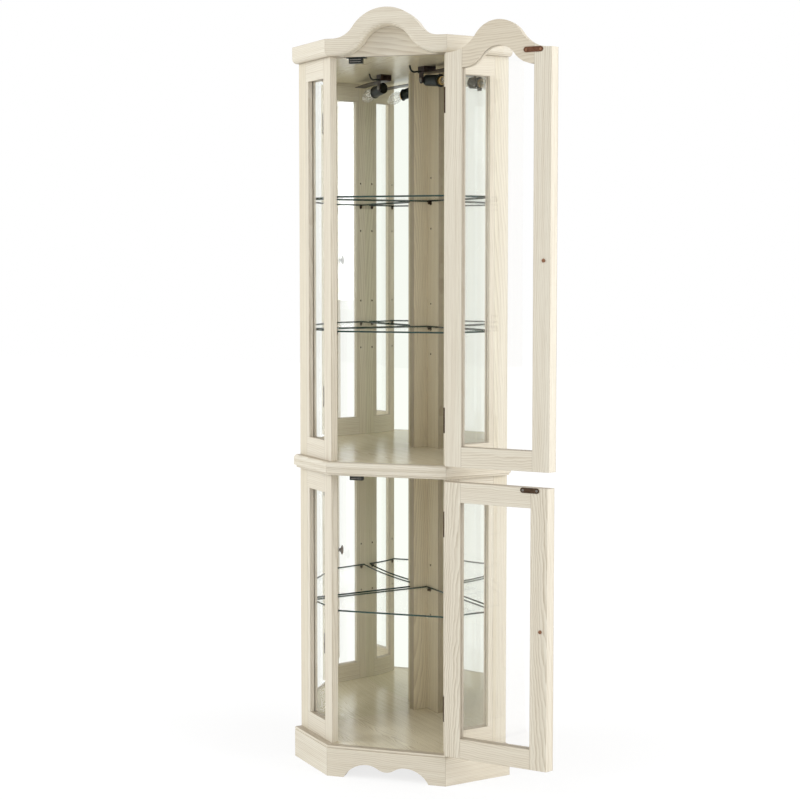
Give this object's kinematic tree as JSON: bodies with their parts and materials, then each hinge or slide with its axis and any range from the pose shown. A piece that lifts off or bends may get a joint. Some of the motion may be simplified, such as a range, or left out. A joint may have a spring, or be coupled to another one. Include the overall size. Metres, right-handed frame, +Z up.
{
  "type": "corner curio cabinet",
  "caption": "Corner display cabinet with a glazed arched door over a lower glazed door, canted glass sides, mirrored back, glass shelves and an interior lamp.",
  "frame": {"origin": "outer back corner of the cabinet at floor level, where the planes of the two back walls meet", "axes": "+Z up, the front faces -Y, +X to the right of someone facing the front; both doors are hinged at +X"},
  "size_m": [0.6831, 0.462, 1.813],
  "materials": {
    "case_oak": "whitewashed oak, satin lacquer",
    "door_oak": "whitewashed oak, satin lacquer",
    "inner_oak": "whitewashed oak",
    "backing_board": "raw hardboard",
    "clear_glass": "clear float glass",
    "shelf_glass": "clear float glass, polished green edge",
    "mirror_glass": "silvered glass",
    "pin_steel": "plated",
    "bronze": "dark bronze plate",
    "knob_bronze": "dark bronze, copper screw",
    "strike_steel": "plated steel",
    "catch_brown": "moulded, two steel strips",
    "lamp_metal": "brown lacquer",
    "socket_black": "moulded",
    "lead_black": "plain",
    "bulb_glass": "clear blown glass",
    "cap_brass": "pressed brass",
    "screw_steel": "plated steel"
  },
  "bodies": {
    "cabinet": {"ceiling": "inner_oak", "crown_left": "case_oak", "crown_right": "case_oak", "header_board": "inner_oak", "hinge_jamb_leaves": "bronze", "hinge_pins": "bronze", "lamp_bracket": "lamp_metal", "lamp_lead": "lead_black", "lamp_pivot_screw": "screw_steel", "lower_back_boards": "backing_board", "lower_back_stiles": "inner_oak", "lower_floor": "inner_oak", "lower_left_frame": "case_oak", "lower_mirrors": "mirror_glass", "lower_posts": "inner_oak", "lower_right_frame": "case_oak", "lower_shelf": "shelf_glass", "lower_shelf_pins": "pin_steel", "lower_side_glass": "clear_glass", "lower_top": "inner_oak", "magnetic_catches": "catch_brown", "middle_shelf": "shelf_glass", "pediment": "case_oak", "pediment_backer": "case_oak", "plinth_front": "case_oak", "plinth_left": "case_oak", "plinth_right": "case_oak", "rear_base_boards": "inner_oak", "upper_back_boards": "backing_board", "upper_back_stiles": "inner_oak", "upper_floor": "inner_oak", "upper_left_frame": "case_oak", "upper_mirrors": "mirror_glass", "upper_posts": "inner_oak", "upper_right_frame": "case_oak", "upper_shelf": "shelf_glass", "upper_shelf_pins": "pin_steel", "upper_side_glass": "clear_glass", "waist_front": "case_oak", "waist_left": "case_oak", "waist_right": "case_oak"},
    "upper_door": {"upper_bottom_rail": "door_oak", "upper_door_glass": "clear_glass", "upper_hinge_leaves": "bronze", "upper_hinge_stile": "door_oak", "upper_knob": "knob_bronze", "upper_latch_stile": "door_oak", "upper_strike": "strike_steel", "upper_top_rail": "door_oak"},
    "lower_door": {"lower_bottom_rail": "door_oak", "lower_door_glass": "clear_glass", "lower_hinge_leaves": "bronze", "lower_hinge_stile": "door_oak", "lower_knob": "knob_bronze", "lower_latch_stile": "door_oak", "lower_strike": "strike_steel", "lower_top_rail": "door_oak"},
    "lamp_head": {"lamp_socket": "socket_black", "bulb_cap": "cap_brass", "lamp_bulb": "bulb_glass"}
  },
  "joints": [
    {"name": "upper_door_hinge", "type": "hinge", "parent": "cabinet", "child": "upper_door", "pos_m": [0.13946, -0.38497, 1.2295], "axis": [0, 0, 1], "range_deg": [-170, 12]},
    {"name": "lower_door_hinge", "type": "hinge", "parent": "cabinet", "child": "lower_door", "pos_m": [0.13946, -0.38497, 0.399], "axis": [0, 0, 1], "range_deg": [-168.5, 12]},
    {"name": "lamp_tilt", "type": "hinge", "parent": "cabinet", "child": "lamp_head", "pos_m": [0.0266, -0.129, 1.673], "axis": [0.6561, 0.7547, 0], "range_deg": [-4, 20]}
  ]
}
